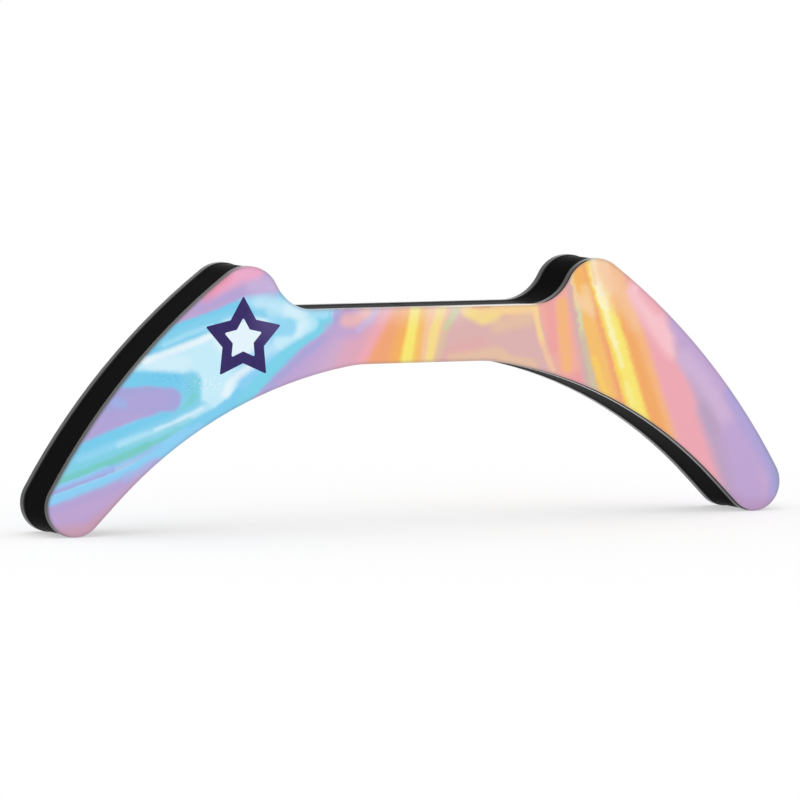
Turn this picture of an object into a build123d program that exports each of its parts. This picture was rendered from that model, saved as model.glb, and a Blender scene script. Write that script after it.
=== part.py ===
from build123d import *
import os
from math import acos, cos, degrees, hypot, radians, sin

# A flat boomerang built as a sandwich: a thick foam core between two rigid face plates, a
# rubber band round the edge, and a decorated film on each face.
# It stands upright on its two wing tips. +X runs along the span, +Z is up, and the decorated
# front face with the emblem looks toward -Y. The origin is under the middle, at tip level.
# All sizes are in millimetres and all angles in degrees.

# ---- overall size ----
SPAN = 350.0              # tip to tip
HEIGHT = 112.7            # tips to the tops of the shoulders
THICKNESS = 30.0          # over both films

# ---- outline: a grip bar between two drooping wings, mirror-symmetric about x = 0 ----
GRIP_TOP = 93.6           # height of the grip bar's straight top edge
GRIP_DEPTH = 24.0         # top edge to underside
GRIP_TOP_HALF = 52.3      # half length of the straight top edge
GRIP_UNDER_HALF = 26.5    # half length of the straight underside
ROOT_R = 19.4             # hollow between the grip and each shoulder
SHOULDER_R = 14.9         # raised, rounded shoulder
OUTER_R = 295.0           # long outer edge of the wing
TIP_R = 12.7              # rounded wing tip
TIP_STRAIGHT = 15.0       # straight stretch between the tip and the arch
ARCH_R = 195.0            # inner edge of the wing
CROWN_R = 60.0            # blend from the arch into the grip's underside

# ---- layers, from each face inward ----
FILM = 0.4                # decorated film
PLATE = 3.6               # rigid plastic face plate
BOND = 0.2                # double-sided adhesive sheet

# ---- edges ----
FILM_ROUND = 0.3          # the film's rim is rolled over
PLATE_OUTER_ROUND = 0.2   # plate arris under the film, a hairline groove
PLATE_INNER_ROUND = 0.5   # plate arris beside the edge band
BAND = 2.5                # thickness of the rubber edge band
BAND_RECESS = 0.4         # the band sits this far inside the plates' outline
BAND_ROUND = 0.4          # rounded ends of the band at its butt joint
SEAM_X = -3.0             # where the band's ends meet on top of the grip
SEAM_GAP = 0.5            # open gap between the band's ends

# ---- emblem: an open five-pointed star let into the front film ----
STAR_X = -85.3            # centre of the star on the left wing
STAR_Z = 81.7
STAR_R = 18.5             # centre to the points
STAR_WAIST = 0.55         # inner corners, as a share of the outer radius
STAR_HOLE = 0.50          # size of the open middle, as a share of the star
STAR_ROUND = 0.5          # rounded corners

BAND_WIDTH = THICKNESS - 2 * (FILM + PLATE)
CORE = BAND_WIDTH - 2 * BOND
PLATE_DEPTH = FILM                         # depths are measured from each face inward
BAND_DEPTH = FILM + PLATE
CORE_DEPTH = FILM + PLATE + BOND


def circle_meet(centre_a, radius_a, centre_b, radius_b):
    """The lower of the two points where two circles cross."""
    along = centre_b - centre_a
    gap = along.length
    reach = (radius_a**2 - radius_b**2 + gap**2) / (2 * gap)
    rise = (radius_a**2 - reach**2) ** 0.5
    unit = along.normalized()
    side = Vector(unit.Y, -unit.X)
    found = [centre_a + unit * reach + side * rise * sign for sign in (1, -1)]
    return min(found, key=lambda point: point.Y)


def on_circle(centre, radius, towards):
    """The point of a circle in the direction of another point."""
    return centre + (towards - centre).normalized() * radius


def half_outline():
    """The right half of the outline, from the top of the grip round the wing to its underside."""
    grip_under = GRIP_TOP - GRIP_DEPTH
    root = Vector(GRIP_TOP_HALF, GRIP_TOP + ROOT_R)
    drop = HEIGHT - SHOULDER_R - root.Y
    run = ((ROOT_R + SHOULDER_R) ** 2 - drop**2) ** 0.5
    shoulder = Vector(root.X + run, HEIGHT - SHOULDER_R)
    tip = Vector(SPAN / 2 - TIP_R, TIP_R)
    crown = Vector(GRIP_UNDER_HALF, grip_under - CROWN_R)
    outer = circle_meet(shoulder, OUTER_R - SHOULDER_R, tip, OUTER_R - TIP_R)
    tip_to_arch = hypot(TIP_STRAIGHT, ARCH_R + TIP_R)
    arch = circle_meet(crown, ARCH_R - CROWN_R, tip, tip_to_arch)
    lean = degrees(acos((ARCH_R + TIP_R) / tip_to_arch))
    tip_side = (arch - tip).normalized().rotate(Axis.Z, lean)

    top = Vector(0, GRIP_TOP)
    grip_end = Vector(GRIP_TOP_HALF, GRIP_TOP)
    root_end = on_circle(root, ROOT_R, shoulder)
    shoulder_end = on_circle(outer, OUTER_R, shoulder)
    outer_end = on_circle(outer, OUTER_R, tip)
    tip_end = tip + tip_side * TIP_R
    arch_start = arch - tip_side * ARCH_R
    arch_end = on_circle(arch, ARCH_R, crown)
    crown_end = Vector(GRIP_UNDER_HALF, grip_under)
    bottom = Vector(0, grip_under)
    return [
        Line(top, grip_end),
        RadiusArc(grip_end, root_end, -ROOT_R),
        RadiusArc(root_end, shoulder_end, SHOULDER_R),
        RadiusArc(shoulder_end, outer_end, OUTER_R),
        RadiusArc(outer_end, tip_end, TIP_R),
        Line(tip_end, arch_start),
        RadiusArc(arch_start, arch_end, -ARCH_R),
        RadiusArc(arch_end, crown_end, -CROWN_R),
        Line(crown_end, bottom),
    ]


def outline():
    """The whole outline as a flat face: local x is +X and local y is +Z."""
    half = half_outline()
    other_half = [edge.mirror(Plane.YZ) for edge in half]
    return make_face(half + other_half)


def inset(face, distance):
    """The outline drawn in all round by a distance."""
    return offset(face, amount=-distance)


def layer(face, depth, thickness):
    """A sheet cut to a face: its near side is at a depth below the front face."""
    plane = Plane.XZ.offset(THICKNESS / 2 - depth)
    return extrude(plane * face, amount=-thickness)


def to_back(solid):
    """The same piece on the other face."""
    return solid.mirror(Plane.XZ)


def make_film(face):
    sheet = layer(face, 0, FILM)
    rim = sheet.faces().sort_by(Axis.Y)[0].edges()
    return fillet(rim, FILM_ROUND)


def make_plate(face):
    sheet = layer(face, PLATE_DEPTH, PLATE)
    outer_arris = sheet.faces().sort_by(Axis.Y)[0].edges()
    sheet = fillet(outer_arris, PLATE_OUTER_ROUND)
    inner_arris = sheet.faces().sort_by(Axis.Y)[-1].edges()
    return fillet(inner_arris, PLATE_INNER_ROUND)


def star(radius):
    """A five-pointed star with one point up."""
    corners = []
    for k in range(10):
        reach = radius if k % 2 == 0 else radius * STAR_WAIST
        turn = radians(90 + 36 * k)
        corners.append((STAR_X + reach * cos(turn), STAR_Z + reach * sin(turn)))
    shape = make_face(Polyline(*corners, close=True))
    return fillet(shape.vertices(), STAR_ROUND)


def make_band(face):
    ring = inset(face, BAND_RECESS) - inset(face, BAND_RECESS + BAND)
    band = layer(ring, BAND_DEPTH, BAND_WIDTH)
    slit = Pos(SEAM_X, 0, GRIP_TOP) * Box(SEAM_GAP, THICKNESS, 3 * BAND)
    band = band - slit
    outer_z = GRIP_TOP - BAND_RECESS
    ends = [
        edge
        for edge in band.edges().filter_by(Axis.Y)
        if abs(edge.center().Z - outer_z) < SEAM_GAP and abs(edge.center().X - SEAM_X) < SEAM_GAP
    ]
    return fillet(ends, BAND_ROUND)


def build():
    face = outline()
    core_face = inset(face, BAND_RECESS + BAND)
    emblem_face = star(STAR_R) - star(STAR_R * STAR_HOLE)
    plain_film = make_film(face)
    emblem = layer(emblem_face, 0, FILM)
    plate = make_plate(face)
    bond = layer(core_face, BAND_DEPTH, BOND)
    return {
        "front_film": plain_film - emblem,
        "front_emblem": emblem,
        "front_plate": plate,
        "front_bond_sheet": bond,
        "foam_core": layer(core_face, CORE_DEPTH, CORE),
        "edge_band": make_band(face),
        "back_bond_sheet": to_back(bond),
        "back_plate": to_back(plate),
        "back_film": to_back(plain_film),
    }


os.makedirs("parts", exist_ok=True)
for node, shape in build().items():
    export_step(shape, f"parts/{node}.step")
    size = shape.bounding_box().size
    print(f"{node}: {size.X:.2f} x {size.Y:.2f} x {size.Z:.2f}, volume {shape.volume:.0f}")
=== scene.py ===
"""Looks for the boomerang: printed film, materials, floor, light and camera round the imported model.

Lengths are metres. Only the materials' patterns, the film's print among them, are laid out in millimetres.
"""

from math import cos, radians, sin

import bmesh
import bpy
from mathutils import Matrix, Vector


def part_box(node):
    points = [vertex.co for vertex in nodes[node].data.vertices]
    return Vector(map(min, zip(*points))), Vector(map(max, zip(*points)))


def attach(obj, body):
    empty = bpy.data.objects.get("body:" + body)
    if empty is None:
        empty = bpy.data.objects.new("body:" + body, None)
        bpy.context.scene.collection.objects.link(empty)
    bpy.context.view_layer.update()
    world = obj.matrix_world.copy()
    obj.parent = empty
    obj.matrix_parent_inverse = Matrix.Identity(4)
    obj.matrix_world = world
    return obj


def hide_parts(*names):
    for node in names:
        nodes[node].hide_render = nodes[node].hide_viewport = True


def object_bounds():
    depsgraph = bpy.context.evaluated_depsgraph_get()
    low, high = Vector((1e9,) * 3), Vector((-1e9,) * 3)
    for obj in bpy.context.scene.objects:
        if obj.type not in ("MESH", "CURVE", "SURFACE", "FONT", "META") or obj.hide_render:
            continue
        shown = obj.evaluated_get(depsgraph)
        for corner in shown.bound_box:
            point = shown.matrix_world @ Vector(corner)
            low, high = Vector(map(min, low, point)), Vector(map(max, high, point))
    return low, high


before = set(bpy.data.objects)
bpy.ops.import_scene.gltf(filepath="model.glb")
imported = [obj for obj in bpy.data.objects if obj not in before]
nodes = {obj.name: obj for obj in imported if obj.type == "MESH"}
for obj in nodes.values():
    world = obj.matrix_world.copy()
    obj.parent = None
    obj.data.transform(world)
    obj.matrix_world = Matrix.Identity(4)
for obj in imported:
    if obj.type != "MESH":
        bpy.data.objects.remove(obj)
cad_low, cad_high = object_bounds()

MM = 0.001

# ---- camera: a long lens, round to the left of the front face and a little above it ----
CAMERA_YAW = 26.09          # degrees to the left of straight on
CAMERA_PITCH = 4.79         # degrees above level
CAMERA_ROLL = 0.52          # degrees, right side up
CAMERA_DISTANCE = 3.298
CAMERA_LENS = 346.6         # millimetres
SENSOR_WIDTH = 36           # millimetres
CLIP_END = 200              # past the floor's far corners
AIM_X = -0.0111             # where the lens axis meets the front face
AIM_BELOW_TOP = 0.0589      # measured down from the shoulders


def make_camera():
    aim = Vector((AIM_X, cad_low.y, cad_high.z - AIM_BELOW_TOP))
    yaw, pitch = radians(CAMERA_YAW), radians(CAMERA_PITCH)
    forward = Vector((sin(yaw) * cos(pitch), cos(yaw) * cos(pitch), -sin(pitch)))
    right = forward.cross(Vector((0, 0, 1))).normalized()
    axes = Matrix((right, right.cross(forward), -forward)).transposed()
    roll = Matrix.Rotation(radians(CAMERA_ROLL), 3, -forward)
    data = bpy.data.cameras.new("camera")
    data.lens = CAMERA_LENS
    data.sensor_width = SENSOR_WIDTH
    data.clip_end = CLIP_END
    camera = bpy.data.objects.new("camera", data)
    camera.matrix_world = Matrix.Translation(aim - forward * CAMERA_DISTANCE) @ (roll @ axes).to_4x4()
    bpy.context.scene.collection.objects.link(camera)
    bpy.context.scene.camera = camera


# ---- node graphs ----
def linear(code):
    """A linear colour, with no alpha, from a hex code."""
    parts = [int(code[i : i + 2], 16) / 255 for i in (0, 2, 4)]
    return [p / 12.92 if p <= 0.04045 else ((p + 0.055) / 1.055) ** 2.4 for p in parts]


def opaque(code):
    """A linear colour, with full alpha, from a hex code."""
    return (*linear(code), 1)


def grey(value):
    return (value, value, value, 1)


class Graph:
    """A node tree, with short ways to add and join nodes."""

    def __init__(self, tree):
        self.tree = tree

    def put(self, socket, value):
        if isinstance(value, bpy.types.NodeSocket):
            self.tree.links.new(value, socket)
        else:
            socket.default_value = value

    def node(self, kind, settings, inputs):
        made = self.tree.nodes.new(kind)
        for key, value in settings.items():
            setattr(made, key, value)
        for key, value in inputs.items():
            self.put(made.inputs[key], value)
        return made

    def math(self, operation, a, b=0.0):
        return self.node("ShaderNodeMath", {"operation": operation}, {0: a, 1: b}).outputs[0]

    def vector(self, operation, a, b=(0, 0, 0), c=(0, 0, 0), scale=1.0):
        inputs = {0: a, 1: b, 2: c, 3: scale}
        made = self.node("ShaderNodeVectorMath", {"operation": operation}, inputs)
        return made.outputs["Value" if operation in ("DOT_PRODUCT", "DISTANCE", "LENGTH") else "Vector"]

    def ease(self, value, start, end, low=0.0, high=1.0):
        """A smooth step from low at start to high at end."""
        settings = {"interpolation_type": "SMOOTHSTEP", "clamp": False}
        inputs = {"Value": value, "From Min": start, "From Max": end, "To Min": low, "To Max": high}
        return self.node("ShaderNodeMapRange", settings, inputs).outputs["Result"]

    def mix(self, share, a, b):
        return self.node("ShaderNodeMix", {"data_type": "RGBA"}, {0: share, 6: a, 7: b}).outputs[2]

    def noise(self, place, scale, detail=2.0, roughness=0.5):
        """A noise texture: its Factor runs from 0 to 1, and its Color is three of them."""
        inputs = {"Vector": place, "Scale": scale, "Detail": detail, "Roughness": roughness}
        return self.node("ShaderNodeTexNoise", {}, inputs)

    def place(self):
        """The point in the frame's own axes, in millimetres."""
        coords = self.node("ShaderNodeTexCoord", {}, {}).outputs["Object"]
        return self.vector("SCALE", coords, scale=1 / MM)

    def bump(self, height, strength, distance):
        inputs = {"Height": height, "Strength": strength, "Distance": distance}
        return self.node("ShaderNodeBump", {}, inputs).outputs["Normal"]


class Finish(Graph):
    """The node tree of a new material."""

    def __init__(self, name):
        self.material = bpy.data.materials.new(name)
        self.material.use_nodes = True
        super().__init__(self.material.node_tree)

    def done(self, **inputs):
        """Sets the shader's own sockets; underscores stand for the spaces in their names."""
        shader = self.tree.nodes["Principled BSDF"]
        for key, value in inputs.items():
            self.put(shader.inputs[key.replace("_", " ")], value)
        return self.material


# ---- the film's print: strokes and curtains of colour, in order, each over the last ----
FILM_SHEEN = 0.03           # what the film's gloss adds to every tone in even light
WARP_SCALE = 0.07           # per millimetre
WARP_DETAIL = 6
WARP_ROUGHNESS = 0.66
WARP_REACH = 2.2            # millimetres
RIPPLE_SCALE = 0.5          # per millimetre: the finer waves in the borders of the yellow bands
RIPPLE_REACH = 2.4          # millimetres
RIPPLE_FROM = (50, 74)      # millimetres along x, over which the waves set in
RIPPLE_UNTIL = (112, 98)    # and die out
SPECKLE_RISE = (0.54, 0.64)  # the noise's values over which a grain fades in
FAR = 1000.0                # millimetres, further than any point of the film from a stroke


def segment_group():
    """A node group that gives the distance from Spot to a segment, or Gap if that is less."""
    tree = bpy.data.node_groups.new("segment", "ShaderNodeTree")
    for name in ("Spot", "Start", "Run", "Rate"):
        tree.interface.new_socket(name, in_out="INPUT", socket_type="NodeSocketVector")
    for way in ("INPUT", "OUTPUT"):
        tree.interface.new_socket("Gap", in_out=way, socket_type="NodeSocketFloat")
    graph = Graph(tree)
    given = graph.node("NodeGroupInput", {}, {}).outputs
    reach = graph.vector("SUBTRACT", given["Spot"], given["Start"])
    part = graph.vector("DOT_PRODUCT", reach, given["Rate"])
    part = graph.math("MINIMUM", graph.math("MAXIMUM", part, 0.0), 1.0)
    apart = graph.vector("DISTANCE", reach, graph.vector("SCALE", given["Run"], scale=part))
    graph.node("NodeGroupOutput", {}, {"Gap": graph.math("MINIMUM", given["Gap"], apart)})
    return tree


class Print:
    """Paints on the (x, z) face of a film, in millimetres."""

    def __init__(self, graph, ground):
        self.graph = graph
        self.segment = segment_group()
        place = graph.place()
        warp = graph.noise(place, WARP_SCALE, WARP_DETAIL, WARP_ROUGHNESS).outputs["Color"]
        drift = graph.vector("SUBTRACT", warp, (0.5, 0.5, 0.5))
        spread = graph.vector("MULTIPLY_ADD", drift, (WARP_REACH, 0, WARP_REACH), place)
        ripple = graph.noise(place, RIPPLE_SCALE).outputs[0]
        across = graph.vector("DOT_PRODUCT", place, (1, 0, 0))
        share = graph.math("MULTIPLY", graph.ease(across, *RIPPLE_FROM), graph.ease(across, *RIPPLE_UNTIL))
        push = graph.math("MULTIPLY", graph.math("SUBTRACT", ripple, 0.5), share)
        spread = graph.vector("ADD", spread, graph.vector("SCALE", (RIPPLE_REACH, 0, 0), scale=push))
        self.spot = graph.vector("MULTIPLY", spread, (1, 0, 1))
        self.paint = self.tone(ground)

    def tone(self, code):
        """The paint that shows as this hex code once the film's gloss is added."""
        return (*((c - FILM_SHEEN) / (1 - FILM_SHEEN) for c in linear(code)), 1)

    def lay(self, share, code):
        self.paint = self.graph.mix(share, self.paint, self.tone(code))

    def along(self, half, soft, points, opacity):
        """How much a line of this half width covers; its border fades over soft more."""
        graph = self.graph
        ends = [Vector((x, 0, z)) for x, z in points]
        gap = FAR
        for start, end in zip(ends, ends[1:]):
            run = end - start
            rate = run / run.length_squared
            inputs = {"Spot": self.spot, "Start": start, "Run": run, "Rate": rate, "Gap": gap}
            gap = graph.node("ShaderNodeGroup", {"node_tree": self.segment}, inputs).outputs["Gap"]
        return graph.ease(gap, half + soft, half, 0, opacity)

    def stroke(self, code, half, soft, *points, opacity=1.0):
        self.lay(self.along(half, soft, points, opacity), code)

    def curtain(self, code, soft, top, bottom, opacity=1.0):
        """Covers everything on the +x side of the line from top down to bottom."""
        start = Vector((top[0], 0, top[1]))
        run = Vector((bottom[0], 0, bottom[1])) - start
        side = Vector((-run.z, 0, run.x)).normalized()
        across = self.graph.vector("DOT_PRODUCT", self.spot, side)
        edge = side.dot(start)
        self.lay(self.graph.ease(across, edge - soft, edge + soft, 0, opacity), code)

    def speckle(self, code, half, soft, *points, size, opacity):
        """Grains of about this size, in millimetres, scattered along a line."""
        graph = self.graph
        grains = graph.noise(self.spot, 1 / size, detail=1).outputs[0]
        share = graph.ease(grains, *SPECKLE_RISE)
        self.lay(graph.math("MULTIPLY", share, self.along(half, soft, points, opacity)), code)


# ---- the tones of the film's print, as seen in even light ----
LILAC = "c1a7d4"
LAVENDER = "a9a7db"
ORCHID = "b3a6d8"
SKY = "7bcdee"
AZURE = "8fd1f5"
PALE = "c7edfb"
WHITE = "e6f5fd"
AQUA = "82d2e0"
TEAL = "7ccdc6"
HAZE = "a0bdee"
ROSE = "eeaccb"
CORAL = "e998b0"
PINK = "efabb5"
BLUSH = "f8c6ce"
SALMON = "f1aea2"
MAUVE = "ddb4b1"
DUSTY = "d8b0af"
PEACH = "f6c6a0"
ORANGE = "f3ac6c"
AMBER = "f6c072"
GOLD = "f8d468"
YELLOW = "f9e878"
LEMON = "fcf5bb"
SAND = "f2d09a"
MINT = "c6d8a6"
SILVER = "d2b7da"
IRIS = "b2a5d8"
STEEL = "9ca1cb"
CLAY = "cba0b5"
CYAN = "7fd3ea"
LAGOON = "87d1ee"
ICE = "96d8f4"
PERIWINKLE = "9eb5e9"
GLAZE = "a6def6"
FROST = "b6e7f9"
PLUM = "b896bd"
HEATHER = "b8a2c1"
WISTERIA = "c8b4dc"
THISTLE = "cfadce"
ASH = "cdb2ae"
SAGE = "d0c4a3"
LIME = "d8dba6"
SNOW = "d9f2fc"
GLEAM = "edf8fd"
MALLOW = "dfa9be"
ROSEWOOD = "e6a8a8"
FAWN = "e8c3a3"
BISCUIT = "e9b088"
APRICOT = "f6b882"
FLAMINGO = "ee9ea5"
SHELL = "efbab4"
TANGERINE = "f2a779"
MARIGOLD = "f5b366"
WHEAT = "f7d29a"
BUFF = "f8cfaa"
STRAW = "f6dc8f"
CANARY = "faef9b"
IVORY = "fdf8d6"
MILK = "fffaf4"
COBALT = "5fb0e4"
FOAM = "f2fbff"


# A stroke gives its tone, half its width, the width of its soft border and the points it runs through.
# A curtain gives its tone, half the width of its soft border and the two ends of its edge.
def paint_left_wing(film):
    # sky blue band below the lilac shoulder
    film.stroke(SKY, 6, 2.5, (-126, 81.5), (-110, 88.6), (-98, 93.5), (-84, 96.5), (-64, 98))
    film.stroke(LAGOON, 2.2, 3, (-122, 80.0), (-108, 85.9), (-96, 89.6), (-84, 91.8))
    film.stroke(GLAZE, 0.3, 1.6, (-122, 80.4), (-112, 84.3), (-100, 88), opacity=0.8)
    film.stroke(GLAZE, 1.6, 3, (-84, 99), (-74, 98), (-64, 95), opacity=0.9)
    film.stroke(LILAC, 8, 1.6, (-122, 96.8), (-109, 100.6), (-98, 104.2), (-84, 109.8), (-66, 111.4))
    film.stroke(ORCHID, 0.5, 4, (-106, 95), (-94, 99.5), (-80, 102.6), opacity=0.55)
    film.stroke(WISTERIA, 1.2, 6, (-80, 105), (-72, 104), opacity=0.9)
    film.stroke(ROSE, 2.0, 5, (-98, 105.5), (-88, 110), (-80, 112))
    film.stroke(CORAL, 0.3, 5.2, (-103, 101), (-94, 107.8), opacity=0.8)
    # white field round the emblem
    film.stroke(WHITE, 5, 6, (-90, 82.5), (-80, 82.5))
    film.stroke(GLEAM, 0.3, 2.4, (-131, 73.6), (-114, 79.0), (-104, 82.4), (-94, 86.4), opacity=0.85)
    film.stroke(WHITE, 1, 3.5, (-128, 72.3), (-112, 72.6), opacity=0.35)
    # ringed pool
    film.stroke(SKY, 8.2, 3.0, (-152, 61), (-130, 59.8), (-116.5, 58.8))
    film.stroke(LAGOON, 3.2, 3.2, (-109.4, 64), (-109.6, 57), (-113, 51.4), (-121, 47.6))
    film.stroke(AQUA, 1.2, 3.0, (-108.0, 64), (-108.4, 57), (-112.4, 51.8), (-121, 48.2), opacity=0.8)
    film.stroke(TEAL, 0.1, 2.2, (-108.4, 58), (-110.5, 53.5), (-114.5, 50.8), opacity=0.6)
    film.stroke(ORCHID, 5.4, 2.8, (-168, 39.8), (-153, 48), (-141, 53.2), (-130, 56))
    film.stroke(LAVENDER, 4.0, 2.6, (-150, 57.6), (-130, 57.6), (-119.4, 57.0))
    film.stroke(IRIS, 1.4, 4.2, (-142, 55.5), (-123, 57), opacity=0.8)
    film.stroke(PERIWINKLE, 0.4, 3.2, (-145, 57.2), (-141, 55.8), opacity=0.8)
    film.stroke(PERIWINKLE, 0.3, 2.2, (-134, 47.8), (-124, 49.8), (-117, 51.6), opacity=0.5)
    # stripes along the lower wing
    film.stroke(SKY, 3.1, 2.2, (-170, 31), (-156, 36.8), (-146, 40.8), (-134, 44.4), (-120, 47.6))
    film.stroke(LAGOON, 4.6, 2.6, (-170, 25.5), (-152, 32.3), (-134, 38.8), (-116, 45), (-104, 50))
    film.stroke(ICE, 0.4, 2.8, (-160, 32.6), (-146, 37.5), (-134, 41), (-120, 45.6), opacity=0.75)
    film.stroke(PALE, 0.2, 3.2, (-142, 38.8), (-125, 43.2), (-112, 48.2), opacity=0.5)
    film.stroke(PALE, 0.5, 2.8, (-114, 47.6), (-107, 51), (-101, 54), (-95, 58), opacity=0.7)
    film.stroke(WHITE, 0.0, 1.5, (-126, 44.6), (-114, 48.4), (-104, 53), opacity=0.5)
    film.stroke(
        AQUA, 1.7, 2.2,
        (-174, 24.4), (-156, 30), (-142, 34.8), (-128, 39.4), (-110, 46.2), opacity=0.7
    )
    film.stroke(TEAL, 0.8, 1.8, (-174, 22.3), (-156, 27.9), (-142, 32.8), (-129, 37.7))
    film.stroke(TEAL, 0.3, 1.8, (-129, 37.7), (-120, 41.2), (-111, 45), opacity=0.8)
    # blue along the underside, up to the grip
    film.stroke(
        AZURE, 3.4, 2.2,
        (-124, 33.5), (-112, 40.4), (-100, 46.6), (-90, 53.2), (-82, 60.5), (-76, 66.5)
    )
    film.stroke(SKY, 1.6, 2.4, (-108, 44.8), (-98, 50), (-90, 55.6), (-82, 63), (-72, 73), opacity=0.75)
    film.stroke(HAZE, 0.9, 1.6, (-175, 19.2), (-156, 25.0), (-146, 28.3))
    film.stroke(HAZE, 0.7, 1.8, (-150, 26.9), (-134, 32.6), (-124, 37.0), opacity=0.5)
    film.stroke(AZURE, 0.1, 1.1, (-174, 20.9), (-160, 25.1), (-148, 29.6), opacity=0.7)
    film.stroke(LAVENDER, 0.1, 1.1, (-174, 18.7), (-160, 22.9), (-149, 26.2), opacity=0.8)
    film.stroke(LAVENDER, 0.0, 1.5, (-150, 25.9), (-140, 29.6), (-128, 34.6), opacity=0.4)
    film.stroke(
        AZURE, 2.0, 1.8,
        (-178, 14.0), (-160, 19.0), (-146, 23.4), (-136, 27.4), (-127, 32.0), (-117, 37.4), (-105, 43.8)
    )
    film.stroke(LILAC, 7, 2.4, (-180, 3.4), (-160, 9.0), (-148, 12.6), (-136, 17.4), (-124, 24.0))
    film.stroke(ORCHID, 0.6, 3, (-176, 11.5), (-160, 16.2), (-148, 20.2), (-138, 24.6), opacity=0.6)
    film.stroke(CLAY, 1.5, 6.0, (-170, 0), (-157, 1), (-147, 7), (-138, 14), (-128, 22.0))
    film.stroke(HAZE, 0.4, 3.0, (-140, 24.6), (-132, 27.6), (-125, 31.0), opacity=0.5)
    # edge of the white field under the emblem
    film.stroke(AZURE, 3.5, 4.5, (-84, 66), (-75, 74), (-66, 84), opacity=0.9)
    film.stroke(GLEAM, 0.2, 3.2, (-80, 71.5), (-87.5, 67), (-92, 62), (-93.5, 59), opacity=0.75)
    # grains of colour over the pool and beside it
    film.speckle(COBALT, 0.5, 4, (-128, 66.5), (-114, 66), (-110.5, 61), size=0.9, opacity=0.5)
    film.speckle(FOAM, 1, 5, (-104, 64), (-96, 61), size=1.1, opacity=0.5)


def paint_grip(film):
    film.stroke(SKY, 3, 2.5, (-86, 52), (-76, 62), (-66, 72), (-56, 82), (-48, 92))
    film.stroke(GLAZE, 2.5, 4, (-70, 92), (-60, 90), (-54, 88))
    film.curtain(LILAC, 1.8, (-38.6, 94), (-83.6, 54))
    film.stroke(
        LAVENDER, 0.5, 2.8,
        (-41.4, 94), (-41.6, 86.5), (-48.4, 80.6), (-59, 73), (-75, 59.6), opacity=0.75
    )
    film.stroke(CYAN, 2.6, 1.8, (-61, 90), (-54, 87.5), (-46.6, 88.4))
    film.stroke(CYAN, 1.6, 1.8, (-86, 55), (-76, 65), (-66, 74.6), (-56, 82.0), (-47.8, 86.4))
    film.stroke(GLAZE, 1.8, 2.6, (-66, 95), (-56, 93.4), (-47.4, 92.4))
    film.stroke(FROST, 1.6, 3.0, (-68, 80), (-61, 84), (-53.5, 87.6))
    film.stroke(SNOW, 0.4, 5.0, (-78, 96.5), (-68, 94.8), (-60, 91.5), opacity=0.45)
    film.stroke(SNOW, 0.3, 4.6, (-64, 93.6), (-57.5, 90.2), (-56.8, 87.4), (-60, 84.6), opacity=0.8)
    film.stroke(SNOW, 0.3, 4.6, (-60, 84.6), (-68, 80), (-77, 75), opacity=0.45)
    film.stroke(ICE, 2.2, 3.2, (-68.5, 86.5), (-64, 86), opacity=0.95)
    film.curtain(THISTLE, 6, (-34.5, 94), (-51, 70))
    film.curtain(MALLOW, 5, (-30, 94), (-42, 70))
    film.stroke(LILAC, 1, 5, (-44, 84), (-33, 84.5), opacity=0.7)
    film.stroke(SHELL, 0.6, 4.2, (-36.5, 88.4), (-31, 88.6), (-27, 91.5), (-26.4, 94), opacity=0.75)
    film.stroke(WISTERIA, 0.4, 2.6, (-22.5, 95), (-25, 89), (-31, 85), opacity=0.85)
    film.curtain(PINK, 2.6, (-17.5, 94), (-33, 70))
    film.curtain(TANGERINE, 2.6, (-13.6, 94), (-27.5, 70))
    film.curtain(MARIGOLD, 3.2, (-9.5, 94), (-16.5, 70))
    film.curtain(GOLD, 1.2, (-6.2, 94), (-11.5, 70))
    film.stroke(YELLOW, 1.2, 1.8, (-3.8, 95), (-6, 82), (-8.4, 69))
    film.curtain(AMBER, 1.4, (-1.2, 94), (-4.8, 70))
    film.curtain(PEACH, 1.3, (1.8, 94), (-1.8, 70))
    film.stroke(STRAW, 1.1, 2.2, (9, 95), (5, 84), (2.5, 69))
    film.curtain(FAWN, 1.8, (11.5, 94), (5.5, 70))
    film.curtain(MAUVE, 2.6, (13.6, 94), (7.6, 70))
    film.stroke(ROSEWOOD, 1, 5, (10, 71), (18, 74.5), (26, 76.5), opacity=0.45)
    film.stroke(MINT, 0.3, 2.4, (16.8, 95), (14, 89.5), (10.5, 84.5), opacity=0.7)
    film.stroke(SAGE, 0.2, 2.4, (12, 87), (8.6, 79), (6.6, 71), opacity=0.45)
    film.stroke(WHEAT, 2.2, 3.2, (21, 93), (36, 92.6), (52, 92.2))
    film.stroke(STRAW, 0.6, 3.6, (22, 90.5), (28, 87.6), (34, 88.4), opacity=0.9)
    film.stroke(FAWN, 0.6, 4.8, (35, 84.5), (50, 87), opacity=0.75)
    film.stroke(BISCUIT, 0.3, 1.6, (24, 93.4), (31, 93.2), opacity=0.75)
    film.stroke(MILK, 1, 13, (-24, 97), (15, 97), opacity=0.3)
    film.stroke(FAWN, 0.8, 4.2, (14, 70.5), (26, 71.5), (34, 73), (38, 71), opacity=0.75)
    film.stroke(FAWN, 0.8, 3.6, (38, 69.5), (52, 67), opacity=0.8)


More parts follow.
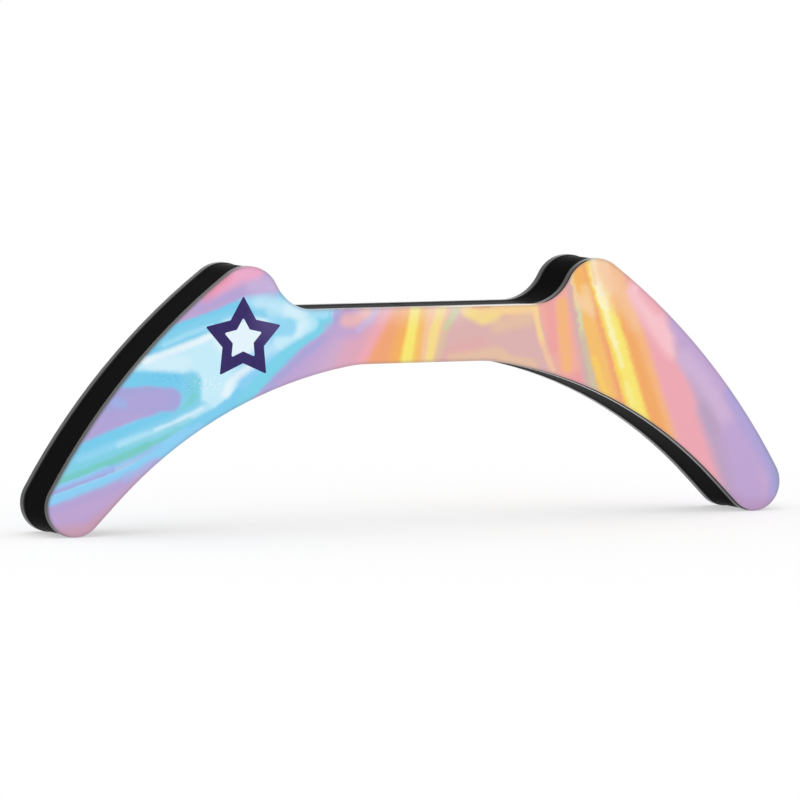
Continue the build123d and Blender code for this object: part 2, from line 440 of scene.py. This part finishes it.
def paint_right_wing(film):
    film.curtain(SALMON, 1.8, (53.8, 94), (64.5, 63))
    film.stroke(WHEAT, 0.4, 1.9, (52.8, 94), (54.4, 86), (57.2, 77))
    film.stroke(PEACH, 0.4, 1.9, (57.2, 77), (59.5, 71), (62, 65), opacity=0.8)
    film.stroke(FLAMINGO, 0.6, 3.6, (60.5, 94), (61.6, 84), (62.6, 74), opacity=0.5)
    film.stroke(APRICOT, 1.0, 3.4, (66.4, 93), (67.2, 84), (68.4, 72), (69, 66))
    film.stroke(FLAMINGO, 1, 5, (70, 57), (76, 60), opacity=0.8)
    film.curtain(DUSTY, 1.9, (69.3, 98), (77.6, 57))
    film.stroke(ASH, 0.8, 3, (79, 66), (81.5, 57), opacity=0.7)
    film.curtain(AMBER, 1.2, (71.8, 104), (84.8, 53))
    film.stroke(SAND, 0.2, 1.6, (71.4, 105), (73.8, 93))
    film.stroke(LIME, 0.2, 1.9, (73.8, 93), (75.4, 85.5), (76.6, 80), opacity=0.85)
    film.stroke(SAGE, 0.3, 2.3, (76.6, 80), (79.4, 69), (82.8, 56), opacity=0.8)
    film.stroke(BUFF, 1.2, 4.4, (76, 94), (82, 90.6), opacity=0.85)
    film.stroke(GOLD, 0.4, 2.2, (82.4, 69), (86.4, 59), (89.4, 51), opacity=0.6)
    film.curtain(TANGERINE, 1.8, (79.8, 97), (94.4, 50))
    film.stroke(MARIGOLD, 0.8, 3.4, (74, 108), (76.6, 100), opacity=0.6)
    film.stroke(WHEAT, 0.8, 3.4, (77.6, 99), (79.6, 92), opacity=0.7)
    film.curtain(GOLD, 1.0, (77.4, 110), (97.0, 51))
    film.curtain(YELLOW, 1.2, (79.4, 110), (99.5, 50))
    film.stroke(IVORY, 1.3, 1.9, (81, 113), (84.2, 101.5), (87.4, 92))
    film.stroke(WHEAT, 0.2, 1.1, (79.4, 113), (82.8, 102), opacity=0.7)
    film.stroke(LEMON, 0.5, 2.4, (86, 95), (89.5, 85.5), (93.0, 75), opacity=0.9)
    film.stroke(LEMON, 0.2, 2.2, (93.0, 75), (96, 66), opacity=0.6)
    film.stroke(CANARY, 0.2, 2.6, (98.4, 57), (101.5, 49), opacity=0.6)
    film.stroke(YELLOW, 0.4, 1.6, (90, 88), (97, 70), (103, 54), opacity=0.6)
    film.curtain(GOLD, 1.4, (85.8, 110), (105.5, 50), opacity=0.55)
    film.stroke(CANARY, 0.4, 1.6, (83.6, 112), (87.6, 100), (91, 92), opacity=0.85)
    film.curtain(ORANGE, 1.5, (88, 105), (108.6, 45))
    film.stroke(BUFF, 3.5, 8, (89, 109), (97, 96))
    film.stroke(MARIGOLD, 1, 6, (94, 94), (101, 84), opacity=0.6)
    film.curtain(APRICOT, 2.4, (94.5, 98), (117.6, 40))
    film.stroke(PEACH, 2, 7, (94, 104), (100, 94), (104, 86), opacity=0.7)
    film.curtain(PINK, 2.4, (99.5, 100), (123.5, 32))
    film.stroke(SALMON, 1, 4, (99, 103), (104, 99), opacity=0.7)
    film.stroke(BLUSH, 1.4, 6.5, (103, 98), (109, 89), (116, 79.5), (121.5, 73), opacity=0.95)
    film.stroke(PINK, 0.5, 4, (106, 98), (113, 90), opacity=0.7)
    film.curtain(THISTLE, 3.8, (116, 92), (145.8, 16))
    film.stroke(HEATHER, 0.6, 5, (124.5, 73), (130.5, 62), (137, 49), (142, 37), opacity=0.45)
    film.stroke(HEATHER, 1.6, 7, (138.5, 45), (143, 34), (148, 22), (152, 8), opacity=0.7)
    film.stroke(LILAC, 2, 6, (124, 84), (133, 71), (142, 58), opacity=0.8)
    film.stroke(SILVER, 0.8, 6, (127, 68), (136, 58), (144, 47), (150, 38), opacity=0.8)
    film.stroke(LILAC, 3, 9, (153, 34), (158, 20), (160, 8))
    film.stroke(IRIS, 1.6, 6.5, (151, 52), (160, 39), (168, 26), (174, 14), (173, 4))
    film.stroke(STEEL, 0.5, 4.2, (166, 34), (173.5, 20), (175.5, 9), opacity=0.85)
    film.stroke(PLUM, 1, 6.5, (150, 4), (158, 0), (170, 1), opacity=0.7)


# ---- materials: grain scales are per millimetre; tones, greys and roughnesses follow the grain ----
NOISE_SPAN = (0.3, 0.7)     # most of a noise texture's values lie between these
FINE_BUMP = 0.1 * MM

# painted shade: the film darkens towards its outline
RIM_SHADE = "8f8792"
RIM_SHARE = 0.34            # how much of the shade shows at the outline
CUT_FROM = 0.80             # where the cut edge begins, from 0 inside the rim to 1 at the outline
CUT_EDGE_SHADE = "352c2e"         # painted shade on the cut edge, on the film's -x sides
CUT_SHADE_FACING = (0.10, 0.40)   # how far an edge faces -x, from no painted shade to a full one
CUT_SHADE_GROWS = (-20, 20)       # millimetres along x, over which the painted shade on the edge grows from its least share to 1
CUT_SHADE_LEAST = 0.4
LIT_EDGE = "f6ece4"         # painted highlight on the cut edge, on the right half of the grip's top
LIT_FACING = (0.8, 0.95)    # how far an edge faces up, from no light edge to a full one
LIT_FROM = (0, 18)          # millimetres along x, over which the light edge sets in
LIT_UNTIL = (56, 50)        # and dies out

FILM_GRAIN = 0.9
FILM_ROUGHNESS = (0.16, 0.24)

VINYL_GRAIN = 0.5
VINYL_TONES = ("2b1f5c", "3a2d6c")
VINYL_ROUGHNESS = (0.25, 0.35)
# a painted reflection: the emblem's vinyl paled towards one spot
REFLECTION_TONE = "5e5288"
REFLECTION_SPOT = (-70, -15, 90)  # millimetres: the middle of a painted reflection on the emblem's vinyl
REFLECTION_REACH = (17, 3)        # millimetres from there, over which the painted reflection sets in
REFLECTION_SHARE = 0.6

PLATE_GRAIN = 1.2
PLATE_GREYS = (0.004, 0.012)
PLATE_ROUGHNESS = (0.12, 0.22)

BAND_GRAIN = 3.0
BAND_GREYS = (0.003, 0.006)
BAND_ROUGHNESS = (0.42, 0.55)

FOAM_CELLS = 1.4
FOAM_GREYS = (0.004, 0.012)
FOAM_BUMP = 0.3 * MM

BOND_STREAKS = 0.4
BOND_DARK = (0.62, 0.60, 0.55, 1)
BOND_PALE = (0.75, 0.74, 0.70, 1)
BOND_ROUGHNESS = (0.4, 0.6)


def paint_rim(film):
    """Paints shade on the film towards its outline, shade on its cut edge where that faces -x, and a
    highlight on the cut edge along the grip's top.
    """
    graph = film.graph
    rim = graph.node("ShaderNodeAttribute", {"attribute_name": "rim"}, {}).outputs["Vector"]
    depth = graph.vector("LENGTH", rim)
    # painted shade, darker towards the film's outline
    film.lay(graph.ease(depth, 0.0, 1.0, 0.0, RIM_SHARE), RIM_SHADE)
    cut = graph.ease(depth, CUT_FROM, 1.0)
    leftward = graph.vector("DOT_PRODUCT", rim, (-1, 0, 0))
    upward = graph.vector("DOT_PRODUCT", rim, (0, 0, 1))
    across = graph.vector("DOT_PRODUCT", film.spot, (1, 0, 0))
    shade_facing = graph.ease(leftward, *CUT_SHADE_FACING)
    strength = graph.math("MULTIPLY", shade_facing, graph.ease(across, *CUT_SHADE_GROWS, CUT_SHADE_LEAST, 1.0))
    # painted shade on the cut edge where it faces -x, weaker on the left half
    film.lay(graph.math("MULTIPLY", cut, strength), CUT_EDGE_SHADE)
    # a painted highlight on the cut edge where it faces up, along the grip's top
    lit = graph.math("MULTIPLY", graph.ease(across, *LIT_FROM), graph.ease(across, *LIT_UNTIL))
    lit = graph.math("MULTIPLY", lit, graph.ease(upward, *LIT_FACING))
    film.lay(graph.math("MULTIPLY", lit, cut), LIT_EDGE)


def film_material():
    graph = Finish("pearl_film")
    film = Print(graph, PALE)
    paint_left_wing(film)
    paint_grip(film)
    paint_right_wing(film)
    paint_rim(film)
    grain = graph.noise(graph.place(), FILM_GRAIN, detail=3).outputs[0]
    return graph.done(
        Base_Color=film.paint,
        Roughness=graph.ease(grain, *NOISE_SPAN, *FILM_ROUGHNESS),
        Specular_IOR_Level=0.35,
        Normal=graph.bump(grain, strength=0.05, distance=FINE_BUMP),
    )


def emblem_material():
    graph = Finish("indigo_vinyl")
    place = graph.place()
    grain = graph.noise(place, VINYL_GRAIN, detail=3).outputs[0]
    dark, light = (opaque(code) for code in VINYL_TONES)
    # painted reflection: the vinyl pales towards a spot
    apart = graph.vector("DISTANCE", place, REFLECTION_SPOT)
    share = graph.ease(apart, *REFLECTION_REACH, 0, REFLECTION_SHARE)
    return graph.done(
        Base_Color=graph.mix(share, graph.mix(grain, dark, light), opaque(REFLECTION_TONE)),
        Roughness=graph.ease(grain, *NOISE_SPAN, *VINYL_ROUGHNESS),
        Specular_IOR_Level=0.15,
        Normal=graph.bump(grain, strength=0.05, distance=FINE_BUMP),
    )


def plate_material():
    graph = Finish("polished_plate")
    polish = graph.noise(graph.place(), PLATE_GRAIN, detail=3).outputs[0]
    return graph.done(
        Base_Color=graph.mix(polish, *map(grey, PLATE_GREYS)),
        Roughness=graph.ease(polish, *NOISE_SPAN, *PLATE_ROUGHNESS),
        Specular_IOR_Level=0.34,
        Normal=graph.bump(polish, strength=0.08, distance=FINE_BUMP),
    )


def band_material():
    graph = Finish("black_rubber")
    grain = graph.noise(graph.place(), BAND_GRAIN, detail=4, roughness=0.6).outputs[0]
    return graph.done(
        Base_Color=graph.mix(grain, *map(grey, BAND_GREYS)),
        Roughness=graph.ease(grain, *NOISE_SPAN, *BAND_ROUGHNESS),
        Specular_IOR_Level=0.0015,
        Sheen_Weight=0.12,
        Sheen_Roughness=0.2,
        Normal=graph.bump(grain, strength=0.15, distance=FINE_BUMP),
    )


def foam_material():
    graph = Finish("black_foam")
    inputs = {"Vector": graph.place(), "Scale": FOAM_CELLS}
    cells = graph.node("ShaderNodeTexVoronoi", {}, inputs).outputs["Distance"]
    return graph.done(
        Base_Color=graph.mix(cells, *map(grey, FOAM_GREYS)),
        Roughness=0.95,
        Specular_IOR_Level=0.1,
        Normal=graph.bump(cells, strength=0.4, distance=FOAM_BUMP),
    )


def bond_material():
    graph = Finish("adhesive_sheet")
    streaks = graph.noise(graph.place(), BOND_STREAKS, detail=3).outputs[0]
    return graph.done(
        Base_Color=graph.mix(streaks, BOND_DARK, BOND_PALE),
        Roughness=graph.ease(streaks, *NOISE_SPAN, *BOND_ROUGHNESS),
    )


def dress(names, material):
    for name in names:
        for slot in nodes[name].material_slots:
            slot.material = material


# ---- the films, with a ring of narrow faces along their rims that carries the painted rim shade and the painted edges ----
RIM_WIDTH = 1.6 * MM
EMBLEM_MARGIN = 4 * MM
FLAT_WITHIN = 0.001 * MM
WELD_WITHIN = 0.002 * MM
SHARP_FROM = 40             # degrees between two faces


def near_emblem(point):
    low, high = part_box("front_emblem")
    middle, size = (low + high) / 2, high - low
    reach = max(size.x, size.z) / 2 + EMBLEM_MARGIN
    return (point.xz - middle.xz).length < reach


def flat_faces(mesh, outward):
    """The faces that lie in the film's printed plane."""
    top = max(v.co.y * outward for v in mesh.vertices)
    level = [abs(v.co.y * outward - top) < FLAT_WITHIN for v in mesh.vertices]
    return [p for p in mesh.polygons if all(level[v] for v in p.vertices)]


def rim_edges(faces):
    """The directed edges of these faces that no other of them shares."""
    found = {}
    for face in faces:
        corners = list(face.vertices)
        for a, b in zip(corners, corners[1:] + corners[:1]):
            if found.pop((b, a), None) is None:
                found[a, b] = True
    return list(found)


def weld(source):
    """A copy of the node's mesh whose faces share their vertices."""
    mesh = source.data.copy()
    work = bmesh.new()
    work.from_mesh(mesh)
    bmesh.ops.remove_doubles(work, verts=work.verts, dist=WELD_WITHIN)
    work.to_mesh(mesh)
    work.free()
    return mesh


def inward_pushes(points, edges, outward):
    """For each vertex of these edges, a vector that points into the face beside them."""
    pushes = {}
    for a, b in edges:
        push = Vector((0, outward, 0)).cross(points[b] - points[a]).normalized()
        for v in (a, b):
            pushes[v] = pushes.get(v, Vector()) + push
    return pushes


def ring_faces(source, points, flat, edges, pushes):
    """The film's faces, with a ring of them along these edges; adds the ring's inner points."""
    inner = {}
    for v, push in pushes.items():
        inner[v] = len(points)
        points.append(points[v] + push.normalized() * RIM_WIDTH)
    level = {p.index for p in flat}
    polygons = []
    for p in source.polygons:
        corners = list(p.vertices)
        polygons.append([inner.get(v, v) for v in corners] if p.index in level else corners)
    return polygons + [(a, b, inner[b], inner[a]) for a, b in edges]


def mark_rim(mesh, source, flat, pushes):
    """Stores the direction out of the outline, of length 1 there and on the wall and 0 within."""
    rim = mesh.attributes.new("rim", "FLOAT_VECTOR", "POINT")
    middle = {v for p in flat for v in p.vertices}.difference(pushes)
    for v in source.vertices:
        if v.index not in middle:
            away = -pushes[v.index] if v.index in pushes else v.normal * Vector((1, 0, 1))
            rim.data[v.index].vector = away.normalized()


def make_film(node, piece, outward, material):
    source = weld(nodes[node])
    points = [v.co.copy() for v in source.vertices]
    flat = flat_faces(source, outward)
    edges = [(a, b) for a, b in rim_edges(flat) if not near_emblem(points[a])]
    pushes = inward_pushes(points, edges, outward)
    polygons = ring_faces(source, points, flat, edges, pushes)
    mesh = bpy.data.meshes.new(piece)
    mesh.from_pydata(points, [], polygons)
    mark_rim(mesh, source, flat, pushes)
    mesh.materials.append(material)
    mesh.shade_smooth()
    mesh.set_sharp_from_angle(angle=radians(SHARP_FROM))
    film = bpy.data.objects.new(piece, mesh)
    bpy.context.scene.collection.objects.link(film)
    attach(film, "root")
    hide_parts(node)


# ---- floor and light ----
FLOOR_HALF = 40.0
FLOOR_GREY = 0.5
FLOOR_GLOW = 0.5            # the share of its light that the floor gives off itself, like a light table


def make_floor():
    mesh = bpy.data.meshes.new("floor")
    h = FLOOR_HALF
    mesh.from_pydata([(-h, -h, 0), (h, -h, 0), (h, h, 0), (-h, h, 0)], [], [(0, 1, 2, 3)])
    floor = bpy.data.objects.new("floor", mesh)
    bpy.context.scene.collection.objects.link(floor)
    graph = Finish("pale_floor")
    material = graph.done(
        Base_Color=grey(FLOOR_GREY),
        Roughness=0.9,
        Specular_IOR_Level=0.0,
        Emission_Color=grey(1.0),
        Emission_Strength=FLOOR_GLOW,
    )
    mesh.materials.append(material)


def make_light():
    scene = bpy.context.scene
    scene.view_settings.view_transform = "Standard"
    world = bpy.data.worlds.new("studio")
    scene.world = world
    world.use_nodes = True
    back = world.node_tree.nodes["Background"]
    back.inputs["Color"].default_value = grey(1.0)
    back.inputs["Strength"].default_value = 1.0


make_camera()
film = film_material()
make_film("front_film", "printed_front", -1, film)
make_film("back_film", "printed_back", 1, film)
dress(("front_emblem",), emblem_material())
dress(("front_plate", "back_plate"), plate_material())
dress(("edge_band",), band_material())
dress(("foam_core",), foam_material())
dress(("front_bond_sheet", "back_bond_sheet"), bond_material())
make_floor()
make_light()
